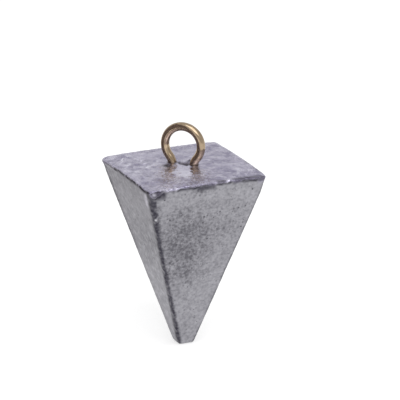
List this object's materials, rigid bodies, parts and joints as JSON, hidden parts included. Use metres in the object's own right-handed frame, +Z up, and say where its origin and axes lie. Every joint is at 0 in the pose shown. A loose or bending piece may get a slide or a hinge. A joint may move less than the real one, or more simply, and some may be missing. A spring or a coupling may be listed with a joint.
{
  "type": "fishing sinker",
  "caption": "Pyramid fishing sinker: a tapered lead weight with a square, slightly domed top, a blunt tip and a brass wire eye cast into the top for tying on a line.",
  "frame": {"origin": "middle of the wire eye's ring, where the line pulls", "axes": "+Z points up the line, from the tip towards the eye; X and Y run along the sides of the square top; the eye's ring lies in the vertical plane through the top's diagonal from -X+Y to +X-Y"},
  "size_m": [0.0236, 0.0236, 0.043],
  "materials": {
    "lead": "dull grey cast lead with fine pits",
    "brass": "aged brass wire"
  },
  "bodies": {
    "root": {"lead_body": "lead", "brass_eye": "brass"}
  },
  "joints": []
}
